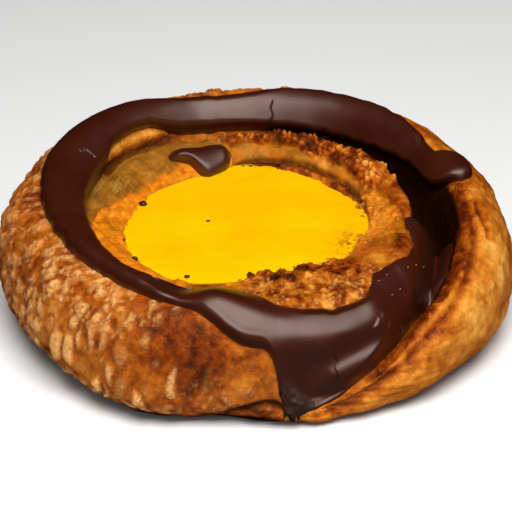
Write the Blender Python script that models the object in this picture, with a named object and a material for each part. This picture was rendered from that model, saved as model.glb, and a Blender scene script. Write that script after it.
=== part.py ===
"""A custard danish: one coil of laminated dough round a pool of custard, under a thick ribbon of chocolate.

Blender 4.5, metres, +Z up. The pastry rests on its flat base at z = 0 and is centred on the origin in plan.
It is worked out in polar form, in millimetres. An angle runs anticlockwise from +X, seen from above, so the
front is at 270. Along the dough's profile a number counts the rings: base 0, low 1, bulge 2, flank 3,
shoulder 4, ridge 5, cliff 6, trough 7, rise 8, inner turn 9, shore 10, bowl 11 and centre 12.
At the front the ridge of the outer strand passes inwards and becomes the inner turn, while the tail of the
dough starts outside it. That makes one strand a coil.
"""

import bmesh
import bpy
import numpy as np

MM = 0.001
COIL_CENTRE = (-0.1, -2.55)  # of the coil, from the middle of the whole pastry

CUSTARD_LEVEL = 20.5
CUSTARD_CROWN = 0.8  # how far the custard's middle stands above its edge
BOWL_DEPTH = 6.0
BOWL_WALL = 4.0  # how far the bowl's wall leans in
GAP = 0.45  # between touching solids
SHARP_GAP = 0.5  # what is added where the dough bends sharply, in the trough and at the notch
NOTCH_ANGLE = 276

RIBBON_THICKNESS = 3.4
DRIP_THICKNESS = 3.4
LEAST_THICKNESS = 2.4  # of chocolate, over a crest
FOOT_THICKNESS = 0.35  # of it where it runs down to the base, as a part of its whole
FLOW_ANGLE = 7.0  # chocolate evens out the dough under it this far each way round the coil
FLOW_ALONG = 0.8  # and this far each way along its profile

# One row for each station round the coil: its angle, then sizes in millimetres. r is a radius, z a height.
STATIONS = [
    # angle, base r, bulge r, bulge z, ridge r, ridge z, trough r, trough z, inner r, inner z, shore r
    (-82, 48.5, 51.5, 3.5, 46.5, 14.0, 43.0, 15.0, 37.5, 24.0, 23.0),
    (-75, 49.0, 52.0, 2.5, 50.5, 5.0, 46.5, 8.5, 38.5, 24.5, 22.8),
    (-62, 49.0, 53.5, 4.5, 52.0, 9.0, 47.0, 10.0, 37.5, 24.0, 22.0),
    (-38, 51.0, 57.5, 8.0, 51.5, 19.0, 44.5, 11.0, 37.0, 23.5, 21.5),
    (-12, 53.0, 60.0, 9.5, 49.5, 25.5, 42.5, 13.0, 35.0, 24.0, 24.5),
    (16, 54.0, 61.0, 12.0, 48.5, 28.0, 41.5, 14.0, 34.0, 25.5, 27.0),
    (45, 53.0, 58.5, 13.0, 47.5, 30.8, 40.5, 16.0, 34.0, 26.5, 28.0),
    (75, 51.0, 57.0, 14.0, 47.5, 31.3, 39.5, 18.0, 34.5, 26.0, 28.5),
    (105, 51.0, 57.0, 14.0, 48.0, 31.0, 40.0, 21.0, 35.5, 25.0, 28.5),
    (140, 52.0, 59.0, 14.0, 47.0, 31.5, 41.0, 25.0, 36.5, 25.5, 29.0),
    (175, 52.5, 60.5, 14.0, 46.0, 29.8, 39.5, 25.0, 36.0, 24.5, 30.0),
    (210, 51.0, 58.0, 12.0, 44.5, 28.0, 37.5, 24.0, 34.0, 23.5, 29.0),
    (240, 50.0, 57.0, 8.5, 43.0, 27.0, 36.0, 24.0, 32.0, 23.0, 26.0),
    (262, 46.5, 51.0, 7.5, 42.0, 26.0, 35.5, 24.0, 31.0, 22.5, 23.5),
    (272, 48.0, 51.0, 6.5, 41.5, 25.0, 37.0, 22.5, 33.0, 22.5, 22.5),
]

# The two edges of the ribbon of chocolate, as places along the dough's profile.
RIBBON_EDGES = [
    # angle, outer edge, inner edge
    (11, 4.1, 5.2),
    (15, 3.7, 5.6),
    (21, 4.0, 5.8),
    (30, 4.8, 6.0),
    (50, 4.6, 6.2),
    (75, 4.7, 6.3),
    (100, 5.15, 6.5),
    (116, 5.0, 6.6),
    (130, 4.4, 6.1),
    (145, 4.0, 6.3),
    (158, 4.0, 7.3),
    (175, 4.25, 6.9),
    (205, 4.55, 6.4),
    (228, 4.6, 6.1),
    (242, 4.5, 6.6),
    (251, 4.3, 8.7),
    (258, 3.8, 9.2),
    (267, 3.1, 8.8),
    (272, 3.0, 8.8),
    (276, 2.2, 8.8),
    (281, 2.1, 8.8),
    (287, 4.3, 8.7),
    (295, 5.7, 8.5),
    (306, 6.7, 8.5),
    (316, 7.1, 9.1),
    (328, 7.1, 8.9),
    (338, 5.9, 8.5),
    (350, 5.6, 9.0),
    (362, 5.8, 8.7),
    (376, 6.4, 8.4),
]

# The drip that ran down inside the back of the coil, in the same form.
DRIP_EDGES = [
    (102, 9.4, 9.8),
    (108, 9.2, 9.95),
    (113, 9.1, 9.95),
    (118, 9.1, 9.9),
    (124, 9.2, 9.6),
]

ANGLE_STEP = 5.0
NOTCH_STEP = 1.25  # closer, where the ridge passes inwards
NOTCH_SPAN = (267.5, 285)
RING_FACES = 3  # from one ring to the next
RIBBON_FACES = 8  # across a ribbon's upper side
TIP_SPAN = 6.0  # the angle over which a ribbon's end rounds off
TIP_SECTIONS = (0.6, 2.0)  # where its first sections stand, as angles from the tip
CUSTARD_TOP = (0.98, 0.86, 0.58, 0.28)  # the custard's rings, as parts of its radius
CUSTARD_UNDERSIDE = (11.0, 10.67, 10.33, 10.0)  # and as places along the dough's profile


def curve_through(places, values, at):
    """A smooth cubic curve through the values at these places, read at others. It never overshoots."""
    steps = np.diff(values) / np.diff(places)
    before, after = steps[:-1], steps[1:]
    same_way = before * after > 0
    inner_slopes = np.where(same_way, 2 * before * after / np.where(same_way, before + after, 1), 0)
    slopes = np.concatenate([steps[:1], inner_slopes, steps[-1:]])
    k = np.clip(np.searchsorted(places, at, side="right") - 1, 0, len(places) - 2)
    span = places[k + 1] - places[k]
    u = (at - places[k]) / span
    return (
        (1 + 2 * u) * (1 - u) ** 2 * values[k]
        + u * (1 - u) ** 2 * span * slopes[k]
        + (3 - 2 * u) * u**2 * values[k + 1]
        + (u - 1) * u**2 * span * slopes[k + 1]
    )


def station_sizes(angle):
    """The ten sizes of a station at any angle. The table is laid out three times, so that it closes."""
    table = np.array(STATIONS)
    angles = np.concatenate([table[:, 0] + turn for turn in (-360, 0, 360)])
    columns = np.tile(table[:, 1:], (3, 1)).T
    return [curve_through(angles, column, np.asarray(angle) % 360) for column in columns]


def between(start, end, part):
    return start + part * (end - start)


def rings(angle):
    """The radius and height of all thirteen rings of the dough, at an array of angles."""
    base, bulge, bulge_z, ridge, ridge_z, trough, trough_z, inner, inner_z, shore = station_sizes(angle)
    one = np.ones_like(base)
    bowl_z = (CUSTARD_LEVEL - BOWL_DEPTH) * one
    found = [
        (base, 0 * one),
        (between(base, bulge, 0.62), 0.36 * bulge_z),
        (bulge, bulge_z),
        (between(bulge, ridge, 0.22), between(bulge_z, ridge_z, 0.62)),
        (between(bulge, ridge, 0.58), between(bulge_z, ridge_z, 0.91)),
        (ridge, ridge_z),
        (between(ridge, trough, 0.50), between(ridge_z, trough_z, 0.38)),
        (trough, trough_z),
        (between(trough, inner, 0.42), between(trough_z, inner_z, 0.68)),
        (inner, inner_z),
        (shore, CUSTARD_LEVEL * one),
        (shore - BOWL_WALL, bowl_z),
        (0 * one, bowl_z - 1),
    ]
    return np.moveaxis(np.array(found), 1, -1)


def dough_points(angle, along):
    """Points of the dough's surface, at angles round the coil and places along its profile."""
    angle, along = np.broadcast_arrays(np.asarray(angle, float), np.clip(along, 0, 12))
    ring = rings(angle)
    slope = np.gradient(ring, axis=0)
    k = np.clip(np.floor(along).astype(int), 0, len(ring) - 2)

    def pick(values, index):
        return np.take_along_axis(values, index[None, ..., None], axis=0)[0]

    def limited(tangent, chord):
        """The tangent, no longer than the chord, so that the profile never doubles back."""
        size = np.linalg.norm(tangent, axis=-1, keepdims=True)
        return tangent * np.minimum(1, chord / np.maximum(size, 1e-9))

    start, end = pick(ring, k), pick(ring, k + 1)
    chord = np.linalg.norm(end - start, axis=-1, keepdims=True)
    leaving, arriving = limited(pick(slope, k), chord), limited(pick(slope, k + 1), chord)
    u = (along - k)[..., None]
    profile = (
        (1 + 2 * u) * (1 - u) ** 2 * start
        + u * (1 - u) ** 2 * leaving
        + (3 - 2 * u) * u**2 * end
        + (u - 1) * u**2 * arriving
    )
    turn = np.radians(angle)
    radius, height = profile[..., 0], profile[..., 1]
    x = COIL_CENTRE[0] + radius * np.cos(turn)
    y = COIL_CENTRE[1] + radius * np.sin(turn)
    return np.stack([x, y, height], axis=-1)


def outward(surface, angle, along):
    """Directions straight out of a surface, evened out over a small patch."""
    around = surface(angle + 1.5, along) - surface(angle - 1.5, along)
    across = surface(angle, along + 0.2) - surface(angle, along - 0.2)
    normal = np.cross(around, across)
    return normal / np.linalg.norm(normal, axis=-1, keepdims=True)


def above_dough(angle, along, height):
    """Points this far out from the dough."""
    return dough_points(angle, along) + outward(dough_points, angle, along) * np.asarray(height)[..., None]


def flowed(angle, along):
    """The dough as something thick lies on it: its bends evened out, its trough partly filled."""
    steps = np.linspace(-1, 1, 7)
    weights = 1 - 0.5 * np.abs(steps)
    total = 0
    for turn, part in zip(steps * FLOW_ANGLE, weights):
        for shift, share in zip(steps * FLOW_ALONG, weights):
            total = total + part * share * dough_points(angle + turn, along + shift)
    return total / weights.sum() ** 2


def top_of_chocolate(angle, along, thickness):
    """Where the top of a thick layer of chocolate lies, with no crest of the dough showing through."""
    out = outward(flowed, angle, along)
    top = flowed(angle, along) + thickness * out
    dough_out = outward(dough_points, angle, along)
    depth = np.sum((top - dough_points(angle, along)) * dough_out, axis=-1, keepdims=True)
    lean = np.clip(np.sum(dough_out * out, axis=-1, keepdims=True), 0.4, 1)
    return top + out * np.clip(LEAST_THICKNESS - depth, 0, LEAST_THICKNESS) / lean


def coil_angles():
    """Angles once round the coil, closer together at the notch."""
    even = np.arange(0, 360, ANGLE_STEP)
    outside = even[(even < NOTCH_SPAN[0]) | (even >= NOTCH_SPAN[1])]
    return np.sort(np.concatenate([outside, np.arange(*NOTCH_SPAN, NOTCH_STEP)]))


def bell(value, middle, reach):
    """1 at the middle, falling smoothly to 0 at this reach on both sides."""
    return np.clip(1 - ((value - middle) / reach) ** 2, 0, 1) ** 2


def clearance(angle, along):
    """How far the chocolate keeps off the dough: more in the trough, ring 7, and at the notch."""
    return GAP + SHARP_GAP * np.maximum(bell(along, 7, 1.3), bell(angle, NOTCH_ANGLE, 9))


def material(name, colour, roughness):
    """A plain finish: its colour, and how rough it is."""
    made = bpy.data.materials.new(name)
    made.use_nodes = True
    shader = made.node_tree.nodes["Principled BSDF"]
    shader.inputs["Base Color"].default_value = (*colour, 1)
    shader.inputs["Roughness"].default_value = roughness
    shader.inputs["Metallic"].default_value = 0
    return made


def skin(name, loops, first, last, finish):
    """A closed smooth solid whose skin runs from the first point, over loops of points, to the last point."""
    mesh = bmesh.new()
    rows = [[mesh.verts.new(point * MM) for point in loop] for loop in loops]
    ends = [mesh.verts.new(np.asarray(point) * MM) for point in (first, last)]
    for row, following in zip(rows, rows[1:]):
        for i in range(len(row)):
            mesh.faces.new([row[i - 1], row[i], following[i], following[i - 1]])
    for i in range(len(rows[0])):
        mesh.faces.new([ends[0], rows[0][i], rows[0][i - 1]])
        mesh.faces.new([rows[-1][i - 1], rows[-1][i], ends[1]])
    data = bpy.data.meshes.new(name)
    mesh.to_mesh(data)
    mesh.free()
    data.shade_smooth()
    data.materials.append(finish)
    bpy.context.scene.collection.objects.link(bpy.data.objects.new(name, data))


def make_pastry():
    """The dough, from its flat base over the ridge, trough and inner turn into the bowl."""
    angles = coil_angles()
    places = np.linspace(0, 11, 11 * RING_FACES + 1)
    loops = [dough_points(angles, place) for place in places]
    base_middle = (*COIL_CENTRE, 0)
    bowl_middle = dough_points(0, 12)
    skin("pastry", loops, base_middle, bowl_middle, material("baked_dough", (0.55, 0.25, 0.06), 0.6))


def make_custard():
    """The custard, which fills the bowl to its shore and stands slightly proud in the middle."""
    angles = np.arange(0, 360, ANGLE_STEP)
    under = [above_dough(angles, place, np.full(len(angles), GAP)) for place in CUSTARD_UNDERSIDE]
    middle = np.array([*COIL_CENTRE, 0])
    edge = under[-1]
    over = []
    for part in CUSTARD_TOP:
        loop = middle + (edge - middle) * (part, part, 1)
        loop[:, 2] += CUSTARD_CROWN * np.sqrt(1 - part**2)
        over.append(loop)
    bottom = dough_points(0, 12) + (0, 0, GAP)
    top = (*COIL_CENTRE, CUSTARD_LEVEL + CUSTARD_CROWN + GAP)
    skin("custard", under + over, bottom, top, material("custard", (0.95, 0.58, 0.01), 0.3))


def ribbon(name, edges, thickness, finish):
    """Chocolate lying on the dough between two edges, rounded off at its edges and at both ends."""
    station, outer_edge, inner_edge = np.array(edges, float).T
    first, last = station[0], station[-1]
    tip = np.array(TIP_SECTIONS)
    inside = np.concatenate([coil_angles(), coil_angles() + 360])
    inside = inside[(inside > first + tip[-1] + 1) & (inside < last - tip[-1] - 1)]
    angles = np.concatenate([first + tip, inside, last - tip[::-1]])
    from_end = np.clip(np.minimum(angles - first, last - angles) / TIP_SPAN, 0, 1)
    rounding = np.sqrt(1 - (1 - from_end) ** 2)
    outer = curve_through(station, outer_edge, angles)
    inner = curve_through(station, inner_edge, angles)
    across = 0.5 - 0.5 * np.cos(np.linspace(0, np.pi, RIBBON_FACES + 1))
    bulging = np.sqrt(1 - np.abs(2 * across - 1) ** 3)
    loops = []
    for angle, end, near, far in zip(angles, rounding, outer, inner):
        middle = between(near, far, 0.5)
        along = between(middle, between(near, far, across), end)
        crown = end * bulging * np.interp(along, (2.5, 5), (FOOT_THICKNESS, 1))
        lower = above_dough(angle, along, clearance(angle, along))
        upper = between(lower, top_of_chocolate(angle, along, thickness), crown[:, None])
        loops.append(np.concatenate([upper[::-1], lower[1:-1]]))
    ends = (0, -1)
    tips = [above_dough(station[i], between(outer_edge[i], inner_edge[i], 0.5), GAP) for i in ends]
    skin(name, loops, *tips, finish)


def make_chocolate():
    """The ribbon round the coil, and the drip inside the back of it."""
    dark = material("dark_chocolate", (0.035, 0.012, 0.008), 0.3)
    ribbon("chocolate", RIBBON_EDGES, RIBBON_THICKNESS, dark)
    ribbon("chocolate_drip", DRIP_EDGES, DRIP_THICKNESS, dark)


for old in list(bpy.data.objects):
    bpy.data.objects.remove(old, do_unlink=True)
make_pastry()
make_custard()
make_chocolate()
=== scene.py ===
# %% [markdown]
# # A custard danish
# This pastry is one thick strand of laminated dough, coiled once round a pool of custard and half hidden under
# a ribbon of dark chocolate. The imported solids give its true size, so they are loaded first, and every finer
# piece made here stays inside the box that they fill.

import itertools
import math

import bpy
import numpy as np
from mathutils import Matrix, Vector
from mathutils.bvhtree import BVHTree


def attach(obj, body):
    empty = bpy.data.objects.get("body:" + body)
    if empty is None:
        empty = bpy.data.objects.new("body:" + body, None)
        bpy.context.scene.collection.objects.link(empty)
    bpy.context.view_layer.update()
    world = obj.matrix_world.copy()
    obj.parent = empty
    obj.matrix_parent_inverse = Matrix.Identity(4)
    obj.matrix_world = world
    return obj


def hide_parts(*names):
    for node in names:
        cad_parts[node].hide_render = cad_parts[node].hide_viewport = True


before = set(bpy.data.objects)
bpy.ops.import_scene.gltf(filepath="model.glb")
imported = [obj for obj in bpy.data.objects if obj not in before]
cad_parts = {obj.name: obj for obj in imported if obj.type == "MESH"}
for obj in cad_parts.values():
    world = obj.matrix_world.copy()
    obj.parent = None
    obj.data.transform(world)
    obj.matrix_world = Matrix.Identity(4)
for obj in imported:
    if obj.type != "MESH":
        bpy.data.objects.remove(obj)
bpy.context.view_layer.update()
print("solids:", sorted(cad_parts))
MM = 0.001

# %% [markdown]
# ## Camera
# The pastry is seen from the front and from about thirty degrees above. A long lens far away keeps the near and
# the far rim nearly the same size, as a product picture does. A short lens close by would swell the front.

# %% Aim the camera
CAMERA_HEIGHT_ANGLE = 32
CAMERA_DISTANCE = 0.5
LOOK_AT = np.array([-0.0001, -0.00455, 0.014])
lift = math.radians(CAMERA_HEIGHT_ANGLE)
camera = bpy.data.objects.new("camera", bpy.data.cameras.new("camera"))
bpy.context.scene.collection.objects.link(camera)
camera.data.lens = 150
camera.data.sensor_width = 36
camera.location = LOOK_AT + CAMERA_DISTANCE * np.array([0, -math.cos(lift), math.sin(lift)])
camera.rotation_euler = (math.radians(90) - lift, 0, 0)
bpy.context.scene.camera = camera
print("camera stands at", [round(value, 3) for value in camera.location])

# %% [markdown]
# ## Light
# Chocolate shows its shape by what it mirrors, so it needs large soft lamps. One wide panel hangs overhead and
# a little behind, which draws the long grey gleam along every crest. Two weaker panels fill the front. The plain
# standard view keeps the custard as bright and clean as its own colour.


# %% Hang three soft panels over a pale floor
def panel(name, place, width, depth, power, gleam=False):
    """A flat lamp that looks at the pastry. It gives light alone, or gleams alone."""
    lamp = bpy.data.objects.new(name, bpy.data.lights.new(name, "AREA"))
    lamp.data.shape = "RECTANGLE"
    lamp.data.size, lamp.data.size_y = width, depth
    lamp.data.energy = power
    lamp.location = place
    lamp.visible_glossy = gleam
    lamp.visible_diffuse = not gleam
    aim = -lamp.location
    lamp.rotation_euler = aim.to_track_quat("-Z", "Y").to_euler()
    bpy.context.scene.collection.objects.link(lamp)
    return lamp


panel("overhead_panel", (0.03, -0.2, 0.49), 0.4, 0.3, 3.9)
panel("left_panel", (-0.55, -0.7, 0.55), 0.8, 0.8, 1.2)
panel("right_panel", (0.6, -0.6, 0.5), 0.8, 0.8, 1.0)
panel("gleam_panel", (0.1, -0.26, 0.49), 0.6, 0.42, 3.05, gleam=True)
world = bpy.data.worlds.new("studio")
world.use_nodes = True
world.node_tree.nodes["Background"].inputs["Color"].default_value = (1, 1, 1, 1)
world.node_tree.nodes["Background"].inputs["Strength"].default_value = 0.02
bpy.context.scene.world = world
world.cycles_visibility.glossy = False
bpy.context.scene.view_settings.view_transform = "Standard"

# %% [markdown]
# ## Sizes of the coil
# The solids were built from one table: stations round the coil, each with the radius and height of its base,
# bulge, ridge, trough, inner turn and shore. The same table is used again here, so that the finer surfaces lie
# exactly on the solids. Only the custard's shore is drawn more closely here. Angles run anticlockwise from the right, in degrees, and the front is at 270. A place
# counts rings across the strand: base 0, bulge 2, ridge 5, trough 7, inner turn 9, shore 10, bowl 11, centre 12.

# %% The tables
COIL_CENTRE = (-0.1, -2.55)
CUSTARD_LEVEL = 20.5
CUSTARD_CROWN = 0.8
BOWL_DEPTH = 6.0
BOWL_WALL = 4.0
STATIONS = [
    # angle, base r, bulge r, bulge z, ridge r, ridge z, trough r, trough z, inner r, inner z, shore r
    (-82, 48.5, 51.5, 3.5, 46.5, 14.0, 43.0, 15.0, 37.5, 24.0, 23.0),
    (-75, 49.0, 52.0, 2.5, 50.5, 5.0, 46.5, 8.5, 38.5, 24.5, 22.8),
    (-62, 49.0, 53.5, 4.5, 52.0, 9.0, 47.0, 10.0, 37.5, 24.0, 22.0),
    (-38, 51.0, 57.5, 8.0, 51.5, 19.0, 44.5, 11.0, 37.0, 23.5, 21.5),
    (-12, 53.0, 60.0, 9.5, 49.5, 25.5, 42.5, 13.0, 35.0, 24.0, 24.5),
    (16, 54.0, 61.0, 12.0, 48.5, 28.0, 41.5, 14.0, 34.0, 25.5, 27.0),
    (45, 53.0, 58.5, 13.0, 47.5, 30.8, 40.5, 16.0, 34.0, 26.5, 28.0),
    (75, 51.0, 57.0, 14.0, 47.5, 31.3, 39.5, 18.0, 34.5, 26.0, 28.5),
    (105, 51.0, 57.0, 14.0, 48.0, 31.0, 40.0, 21.0, 35.5, 25.0, 28.5),
    (140, 52.0, 59.0, 14.0, 47.0, 31.5, 41.0, 25.0, 36.5, 25.5, 29.0),
    (175, 52.5, 60.5, 14.0, 46.0, 29.8, 39.5, 25.0, 36.0, 24.5, 30.0),
    (210, 51.0, 58.0, 12.0, 44.5, 28.0, 37.5, 24.0, 34.0, 23.5, 29.0),
    (240, 50.0, 57.0, 8.5, 43.0, 27.0, 36.0, 24.0, 32.0, 23.0, 26.0),
    (262, 46.5, 51.0, 7.5, 42.0, 26.0, 35.5, 24.0, 31.0, 22.5, 23.5),
    (272, 48.0, 51.0, 6.5, 41.5, 25.0, 37.0, 22.5, 33.0, 22.5, 22.5),
]
SHORE = [
    # angle, radius at which the custard meets the dough
    (12, 24.7),
    (43, 24.4),
    (60, 25.3),
    (76, 26.5),
    (91, 27.8),
    (105, 27.3),
    (122, 25.6),
    (145, 27.1),
    (162, 28.6),
    (182, 29.2),
    (205, 30.3),
    (224, 28.9),
    (236, 26.9),
    (249, 23.9),
    (264, 21.4),
    (278, 18.9),
    (300, 18.8),
    (317, 21.3),
    (330, 23.4),
    (355, 24.3),
]
RIBBON_EDGES = [
    # angle, outer edge, inner edge
    (11, 4.5, 5.1),
    (13, 4.25, 5.4),
    (16, 4.1, 5.75),
    (19, 4.12, 5.9),
    (22, 4.45, 5.95),
    (25, 4.95, 5.95),
    (28, 5.0, 5.95),
    (34, 4.85, 6.0),
    (50, 4.6, 6.2),
    (75, 4.7, 6.3),
    (100, 5.15, 6.5),
    (116, 5.0, 6.6),
    (130, 4.4, 6.1),
    (145, 4.0, 6.3),
    (158, 4.0, 7.3),
    (175, 4.25, 6.9),
    (205, 4.55, 6.2),
    (217, 4.58, 5.8),
    (228, 4.6, 5.6),
    (236, 4.55, 5.7),
    (242, 4.5, 6.2),
    (251, 4.45, 8.7),
    (258, 3.9, 9.2),
    (263, 3.45, 9.0),
    (267, 3.2, 8.8),
    (273, 3.2, 8.8),
    (275, 3.1, 8.8),
    (275.8, 2.6, 8.8),
    (276.6, 1.65, 8.8),
    (278.5, 1.65, 8.8),
    (281, 2.1, 8.75),
    (285, 3.2, 8.7),
    (289, 4.6, 8.65),
    (295, 5.5, 8.5),
    (303, 6.0, 8.5),
    (307, 6.3, 8.55),
    (316, 6.9, 9.1),
    (328, 7.0, 8.9),
    (338, 5.9, 8.5),
    (348, 5.75, 8.85),
    (353, 6.1, 9.05),
    (357, 6.8, 9.0),
    (360, 7.6, 8.7),
]
DRIP_EDGES = [
    (101, 9.3, 9.75),
    (105, 9.2, 9.95),
    (110, 9.15, 10.1),
    (116, 9.15, 10.15),
    (119.5, 9.1, 9.95),
    (122, 9.05, 9.6),
    (126, 9.1, 9.45),
    (130, 9.2, 9.4),
]

# %% [markdown]
# ## A surface from the table
# A curve through the stations that never overshoots gives every size at every angle. Across the strand, thirteen
# rings are joined by cubic pieces. Working all of it out once on a fine grid makes each later question cheap: a
# point between two grid points is read by blending the four round it.


# %% Curves through the stations
def curve_through(places, values, at):
    """A smooth cubic curve through the values at these places, read at others. It never overshoots."""
    places, values, at = np.asarray(places, float), np.asarray(values, float), np.asarray(at, float)
    steps = np.diff(values) / np.diff(places)
    before, after = steps[:-1], steps[1:]
    same_way = before * after > 0
    inner_slopes = np.where(same_way, 2 * before * after / np.where(same_way, before + after, 1), 0)
    slopes = np.concatenate([steps[:1], inner_slopes, steps[-1:]])
    k = np.clip(np.searchsorted(places, at, side="right") - 1, 0, len(places) - 2)
    span = places[k + 1] - places[k]
    u = (at - places[k]) / span
    return (
        (1 + 2 * u) * (1 - u) ** 2 * values[k]
        + u * (1 - u) ** 2 * span * slopes[k]
        + (3 - 2 * u) * u**2 * values[k + 1]
        + (u - 1) * u**2 * span * slopes[k + 1]
    )


def between(start, end, part):
    return start + part * (end - start)


def rings(angle):
    """The radius and height of the thirteen rings, at an array of angles."""
    table = np.array(STATIONS)
    stations = np.concatenate([table[:, 0] + turn for turn in (-360, 0, 360)])
    sizes = [curve_through(stations, column, angle % 360) for column in np.tile(table[:, 1:], (3, 1)).T]
    base, bulge, bulge_z, ridge, ridge_z, trough, trough_z, inner, inner_z, _ = sizes
    turns, radii = np.array(SHORE).T
    turns = np.concatenate([turns - 360, turns, turns + 360])
    shore = curve_through(turns, np.tile(radii, 3), angle % 360)
    one = np.ones_like(base)
    bowl_z = (CUSTARD_LEVEL - BOWL_DEPTH) * one
    found = [
        (base, 0 * one),
        (between(base, bulge, 0.62), 0.36 * bulge_z),
        (bulge, bulge_z),
        (between(bulge, ridge, 0.22), between(bulge_z, ridge_z, 0.62)),
        (between(bulge, ridge, 0.58), between(bulge_z, ridge_z, 0.91)),
        (ridge, ridge_z),
        (between(ridge, trough, 0.50), between(ridge_z, trough_z, 0.38)),
        (trough, trough_z),
        (between(trough, inner, 0.42), between(trough_z, inner_z, 0.68)),
        (inner, inner_z),
        (shore, CUSTARD_LEVEL * one),
        (shore - BOWL_WALL, bowl_z),
        (0 * one, bowl_z - 1),
    ]
    return np.moveaxis(np.array(found), 1, -1)


# %% Work out the dough on a fine grid
GRID_ANGLES = np.arange(0, 360, 0.5)
GRID_PLACES = np.linspace(0, 12, 241)


def lay_out_dough():
    """Points of the smooth dough, in millimetres: one row for each place, one column for each angle."""
    ring = rings(GRID_ANGLES)
    slope = np.gradient(ring, axis=0)
    k = np.clip(np.floor(GRID_PLACES).astype(int), 0, 11)
    start, end = ring[k], ring[k + 1]
    chord = np.linalg.norm(end - start, axis=-1, keepdims=True)
    leaving, arriving = slope[k], slope[k + 1]
    for tangent in (leaving, arriving):
        size = np.linalg.norm(tangent, axis=-1, keepdims=True)
        tangent *= np.minimum(1, chord / np.maximum(size, 1e-9))
    u = (GRID_PLACES - k)[:, None, None]
    profile = (
        (1 + 2 * u) * (1 - u) ** 2 * start
        + u * (1 - u) ** 2 * leaving
        + (3 - 2 * u) * u**2 * end
        + (u - 1) * u**2 * arriving
    )
    turn = np.radians(GRID_ANGLES)
    x = COIL_CENTRE[0] + profile[..., 0] * np.cos(turn)
    y = COIL_CENTRE[1] + profile[..., 0] * np.sin(turn)
    return np.stack([x, y, profile[..., 1]], axis=-1)


def outward(grid):
    """Directions straight out of a surface, evened out over three degrees and two fifths of a ring."""
    last = len(GRID_PLACES) - 1
    rows = np.arange(last + 1)
    around = np.roll(grid, -3, axis=1) - np.roll(grid, 3, axis=1)
    across = grid[np.minimum(rows + 4, last)] - grid[np.maximum(rows - 4, 0)]
    normal = np.cross(around, across)
    return normal / np.maximum(np.linalg.norm(normal, axis=-1, keepdims=True), 1e-9)


def read(grid, angle, place):
    """A grid's value at any angles and places, blended from the four grid points round each."""
    angle, place = np.broadcast_arrays(np.asarray(angle, float) % 360, np.clip(place, 0, 12))
    column, row = angle / 0.5, place / 0.05
    left, low = np.floor(column).astype(int), np.minimum(np.floor(row).astype(int), len(GRID_PLACES) - 2)
    extra = (Ellipsis,) + (None,) * (grid.ndim - 2)
    side, up = (column - left)[extra], (row - low)[extra]
    left = left % len(GRID_ANGLES)
    right = (left + 1) % len(GRID_ANGLES)
    lower = between(grid[low, left], grid[low, right], side)
    upper = between(grid[low + 1, left], grid[low + 1, right], side)
    return between(lower, upper, up)


dough_grid = lay_out_dough()
dough_out = outward(dough_grid)
print("the dough spans", np.round(np.ptp(dough_grid, axis=(0, 1)), 1), "mm")

# %% [markdown]
# ## Unevenness
# Baked dough is uneven at every scale. Two helpers give that. Soft noise is a smooth random swell. Cells split a
# surface into little islands, which is how the top layer of laminated dough breaks up where steam lifts it. Both
# take their numbers from whole-number arithmetic on the place itself, so they come out the same every time.


# %% Noise and cells
def chance(corner, seed):
    """A fixed number from 0 to 1 for each whole-number corner of space."""
    corner = corner.astype(np.int64)
    mixed = corner[..., 0] * 73856093 ^ corner[..., 1] * 19349663 ^ corner[..., 2] * 83492791 ^ seed * 40503001
    mixed = (mixed ^ (mixed >> 13)) * 1274126177
    mixed = mixed ^ (mixed >> 16)
    return (mixed & 0xFFFFFF) / 0xFFFFFF


def swell(points, seed):
    """Smooth noise from about -1 to 1, one wave to a unit."""
    corner = np.floor(points)
    inside = points - corner
    fade = inside**3 * (inside * (inside * 6 - 15) + 10)
    total = 0
    for offset in itertools.product((0, 1), repeat=3):
        offset = np.array(offset)
        lean = np.stack([chance(corner + offset, seed + axis) for axis in range(3)], axis=-1) * 2 - 1
        share = np.prod(np.where(offset, fade, 1 - fade), axis=-1)
        total = total + share * np.sum(lean * (inside - offset), axis=-1)
    return total * 1.8


def rough(points, seed, layers=3):
    """Noise in layers, each half as wide and half as high as the last."""
    return sum(swell(points * 2**layer, seed + 7 * layer) / 2**layer for layer in range(layers))


def smooth(value, low, high):
    """0 below low, 1 above high, and an S curve between them."""
    part = np.clip((value - low) / (high - low), 0, 1)
    return part * part * (3 - 2 * part)


def islands(points, seed, share):
    """Raised islands with grooves between them, 0 to 1, where this share of all cells is raised."""
    corner = np.floor(points)
    nearest = np.full(points.shape[:-1], 9.0)
    second = nearest.copy()
    luck = np.zeros_like(nearest)
    for offset in itertools.product((-1, 0, 1), repeat=3):
        cell = corner + np.array(offset)
        middle = cell + np.stack([chance(cell, seed + axis) for axis in range(3)], axis=-1)
        distance = np.linalg.norm(points - middle, axis=-1)
        closer = distance < nearest
        second = np.where(closer, nearest, np.minimum(second, distance))
        luck = np.where(closer, chance(cell, seed + 5), luck)
        nearest = np.where(closer, distance, nearest)
    return smooth(second - nearest, 0.05, 0.4) * smooth(luck, 1 - share, 1.15 - share)

# %% [markdown]
# ## Where things are on the dough
# Most of what makes this pastry itself has a place: a dark patch here, a crease there. Each is written as an
# angle and a place across the strand, and turned into a distance in millimetres over the surface. A spot is then
# a soft round mark, and a seam is a soft line through a few such points.

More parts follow.
